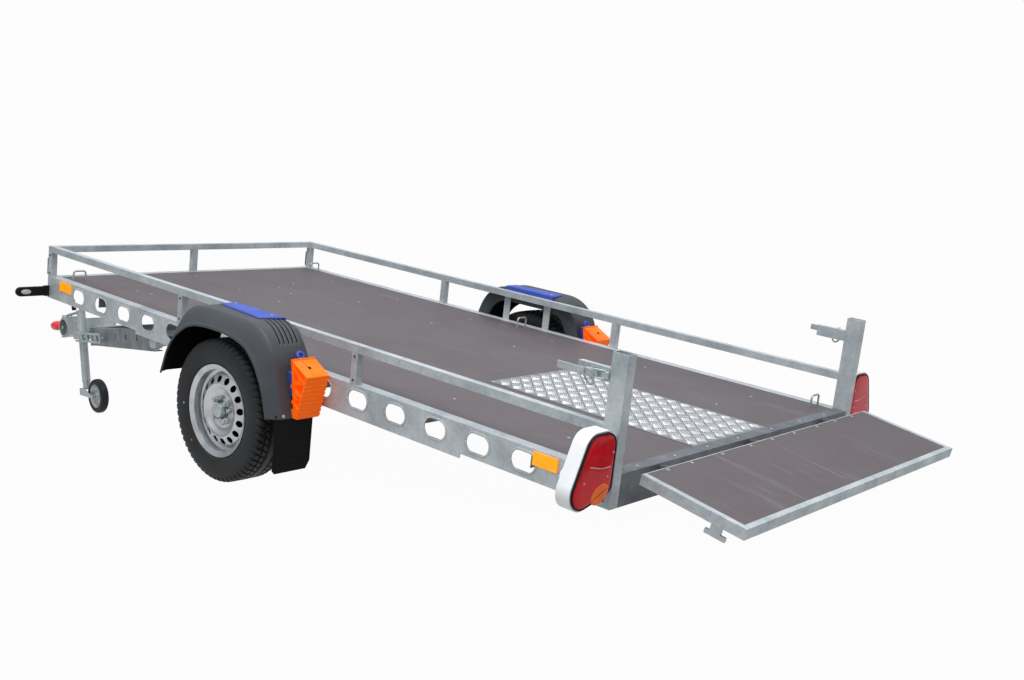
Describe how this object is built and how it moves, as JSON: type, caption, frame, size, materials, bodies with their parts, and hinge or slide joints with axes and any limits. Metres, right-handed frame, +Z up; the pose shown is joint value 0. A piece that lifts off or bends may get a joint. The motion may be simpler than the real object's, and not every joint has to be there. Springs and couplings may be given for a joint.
{
  "type": "motorcycle trailer",
  "caption": "Low single-axle trailer with a tipping flat bed, guard rails, rear ramp, jockey wheel and ball coupling, for carrying a motorcycle",
  "frame": {"origin": "middle of the bounding box on the floor", "axes": "+X towards the coupling, +Y to the trailer's left, +Z up"},
  "size_m": [5.3914, 2.044, 0.9644],
  "materials": {
    "galvanised": "hot-dip galvanised, dull",
    "zinc": "bright zinc plated",
    "black_steel": "dark coated",
    "deck_board": "brown film-faced plywood, scuffed",
    "tread_aluminium": "diamond tread, dull",
    "tyre_rubber": "matt",
    "wheel_silver": "silver lacquer",
    "grey_plastic": "grained",
    "blue_plastic": "moulded",
    "orange_plastic": "moulded",
    "black_plastic": "moulded",
    "black_rubber": "moulded",
    "red_lens": "clear red",
    "amber_lens": "clear amber",
    "dark_reflector": "smoked",
    "red_plastic": "moulded"
  },
  "bodies": {
    "bed": {"sill_left": "galvanised", "sill_right": "galvanised", "front_beam": "galvanised", "rear_beam": "galvanised", "cross_members": "galvanised", "lower_rails": "galvanised", "guard_rail_left": "galvanised", "guard_rail_right": "galvanised", "guard_rail_front": "galvanised", "rail_posts": "galvanised", "rear_post_left": "galvanised", "rear_post_right": "galvanised", "toggle_latches": "galvanised", "tie_down_loops": "galvanised", "fender_brackets": "galvanised", "tail_lamp_housings": "galvanised", "axle_beam": "galvanised", "pivot_bearings": "galvanised", "swing_arms": "black_steel", "deck_panel": "deck_board", "tread_plate": "tread_aluminium", "fender_left": "grey_plastic", "fender_right": "grey_plastic", "fender_pads": "blue_plastic", "chock_holders": "blue_plastic", "wheel_chocks": "orange_plastic", "mudflaps": "black_plastic", "marker_arms": "black_rubber", "tail_lamp_lenses": "red_lens", "indicator_lenses": "amber_lens", "side_reflectors": "amber_lens", "front_reflectors": "dark_reflector"},
    "wheel_left": {"tyre_left": "tyre_rubber", "rim_left": "wheel_silver", "hub_left": "galvanised"},
    "wheel_right": {"tyre_right": "tyre_rubber", "rim_right": "wheel_silver", "hub_right": "galvanised"},
    "drawbar": {"drawbar_arm_left": "galvanised", "drawbar_arm_right": "galvanised", "pivot_tube": "galvanised", "drawbar_nose": "galvanised", "coupling_head": "galvanised", "coupling_grip": "red_plastic", "jockey_clamp": "zinc"},
    "jockey_stand": {"jockey_tube": "zinc", "jockey_crank": "zinc", "jockey_leg": "zinc"},
    "jockey_swivel": {"jockey_fork": "zinc"},
    "jockey_roller": {"jockey_tyre": "tyre_rubber", "jockey_rim": "zinc"},
    "ramp": {"ramp_frame": "galvanised", "ramp_panel": "deck_board", "ramp_catches": "galvanised"}
  },
  "joints": [
    {"name": "wheel_left_spin", "type": "hinge", "parent": "bed", "child": "wheel_left", "pos_m": [-0.513, 0.917, 0.281], "axis": [0, 1, 0], "continuous": true},
    {"name": "wheel_right_spin", "type": "hinge", "parent": "bed", "child": "wheel_right", "pos_m": [-0.513, -0.917, 0.281], "axis": [0, 1, 0], "continuous": true},
    {"name": "drawbar_hinge", "type": "hinge", "parent": "bed", "child": "drawbar", "pos_m": [0.22883, 0, 0.5121], "axis": [0, -1, 0], "range_deg": [0, 12.9]},
    {"name": "jockey_slide", "type": "slide", "parent": "drawbar", "child": "jockey_stand", "axis": [-0.0366, 0, -0.9993], "range_m": [-0.17, 0.12]},
    {"name": "jockey_swivel", "type": "hinge", "parent": "jockey_stand", "child": "jockey_swivel", "pos_m": [2.12648, 0.1, 0.14031], "axis": [0.0366, 0, 0.9993], "continuous": true},
    {"name": "jockey_spin", "type": "hinge", "parent": "jockey_swivel", "child": "jockey_roller", "pos_m": [1.98026, 0.11011, 0.10004], "axis": [0.0697, 0.9976, -0.0026], "continuous": true},
    {"name": "ramp_hinge", "type": "hinge", "parent": "bed", "child": "ramp", "pos_m": [-2.31158, 0, 0.15678], "axis": [0, 1, 0], "range_deg": [0, 98.35]}
  ]
}
